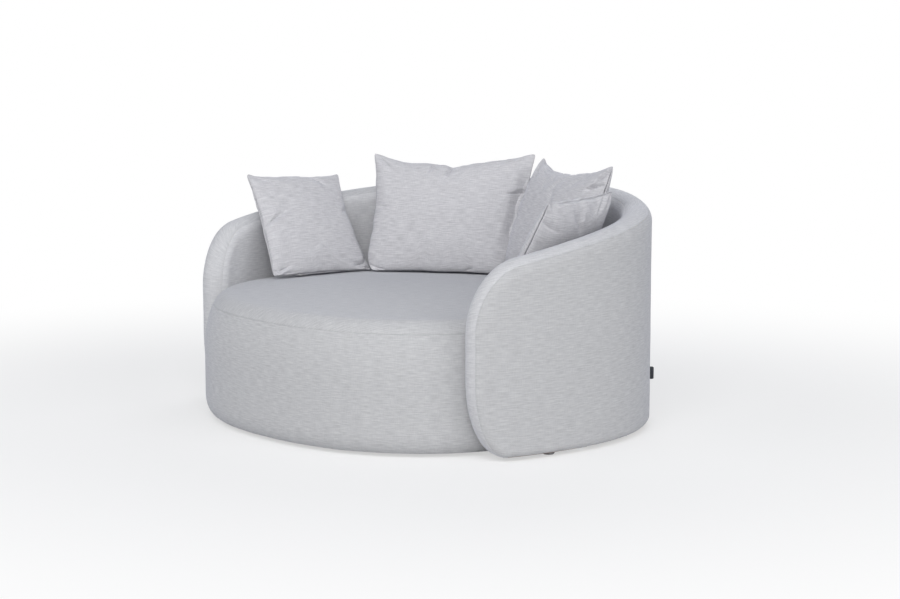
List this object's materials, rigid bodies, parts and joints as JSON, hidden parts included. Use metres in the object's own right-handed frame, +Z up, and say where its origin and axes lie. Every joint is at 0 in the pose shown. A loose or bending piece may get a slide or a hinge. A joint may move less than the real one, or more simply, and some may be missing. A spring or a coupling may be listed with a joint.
{
  "type": "loveseat",
  "caption": "Round loveseat: a padded barrel shell with rounded arms wraps a deep upholstered seat with loose back cushions.",
  "frame": {"origin": "on the floor, under the centre of the outline of shell and seat", "axes": "+Z up; -Y is the open front of the seat; +X is the sofa's own left when sitting, the viewer's right from the front; X = 0 is the middle plane"},
  "size_m": [1.6194, 1.3894, 0.8442],
  "materials": {
    "sofa_cover": "woven grey melange",
    "cushion_cover": "woven light grey melange",
    "filling": "soft fibre in a white inner bag",
    "foam": "cut foam",
    "plywood": "raw plywood",
    "hardboard": "raw hardboard",
    "webbing": "elastic webbing",
    "black_cloth": "thin bonded cloth",
    "tab_fabric": "dense woven tape",
    "glide_plastic": "matte black",
    "steel": "zinc plated",
    "zip": "grey nylon chain",
    "zip_slider": "satin"
  },
  "bodies": {
    "sofa": {"shell_bottom_rail": "plywood", "shell_top_rail": "plywood", "arm_front_strips": "plywood", "shell_posts": "plywood", "shell_inner_board": "hardboard", "shell_outer_board": "hardboard", "shell_inner_pad": "foam", "shell_outer_pad": "foam", "shell_edge_roll": "foam", "shell_inner_cover": "sofa_cover", "shell_outer_cover": "sofa_cover", "shell_edge_band": "sofa_cover", "shell_bottom_cloth": "black_cloth", "fabric_tab": "tab_fabric", "seat_bottom_board": "plywood", "seat_posts": "plywood", "seat_top_ring": "plywood", "seat_side_board": "hardboard", "webbing_across": "webbing", "webbing_deep": "webbing", "seat_foam": "foam", "seat_side_foam": "foam", "seat_top_cover": "sofa_cover", "seat_border": "sofa_cover", "seat_dust_cover": "black_cloth", "seat_glides": "glide_plastic", "shell_glides": "glide_plastic", "glide_screws": "steel", "joining_plates": "steel", "plate_screws": "steel"},
    "left_cushion": {"left_cushion_front": "cushion_cover", "left_cushion_back": "cushion_cover", "left_cushion_filling": "filling", "left_cushion_zip": "zip"},
    "left_zip_slider": {"left_cushion_slider": "zip_slider"},
    "middle_cushion": {"middle_cushion_front": "cushion_cover", "middle_cushion_back": "cushion_cover", "middle_cushion_filling": "filling", "middle_cushion_zip": "zip"},
    "middle_zip_slider": {"middle_cushion_slider": "zip_slider"},
    "rear_cushion": {"rear_cushion_front": "cushion_cover", "rear_cushion_back": "cushion_cover", "rear_cushion_filling": "filling", "rear_cushion_zip": "zip"},
    "rear_zip_slider": {"rear_cushion_slider": "zip_slider"},
    "right_cushion": {"right_cushion_front": "cushion_cover", "right_cushion_back": "cushion_cover", "right_cushion_filling": "filling", "right_cushion_zip": "zip"},
    "right_zip_slider": {"right_cushion_slider": "zip_slider"}
  },
  "joints": [
    {"name": "left_cushion_lift", "type": "slide", "parent": "sofa", "child": "left_cushion", "axis": [0, 0, 1], "range_m": [0, 0.45]},
    {"name": "left_zip_slide", "type": "slide", "parent": "left_cushion", "child": "left_zip_slider", "axis": [0.0467, 0.9989, 0.0006], "range_m": [0, 0.185]},
    {"name": "middle_cushion_lift", "type": "slide", "parent": "sofa", "child": "middle_cushion", "axis": [0, 0, 1], "range_m": [0, 0.45]},
    {"name": "middle_zip_slide", "type": "slide", "parent": "middle_cushion", "child": "middle_zip_slider", "axis": [0.7998, 0.6002, -0.006], "range_m": [0, 0.29]},
    {"name": "rear_cushion_lift", "type": "slide", "parent": "sofa", "child": "rear_cushion", "axis": [0, 0, 1], "range_m": [0, 0.45]},
    {"name": "rear_zip_slide", "type": "slide", "parent": "rear_cushion", "child": "rear_zip_slider", "axis": [0.9335, -0.3586, -0.0008], "range_m": [0, 0.29]},
    {"name": "right_cushion_lift", "type": "slide", "parent": "sofa", "child": "right_cushion", "axis": [0, 0, 1], "range_m": [0, 0.45]},
    {"name": "right_zip_slide", "type": "slide", "parent": "right_cushion", "child": "right_zip_slider", "axis": [0.2899, -0.957, -0.0047], "range_m": [0, 0.185]}
  ]
}
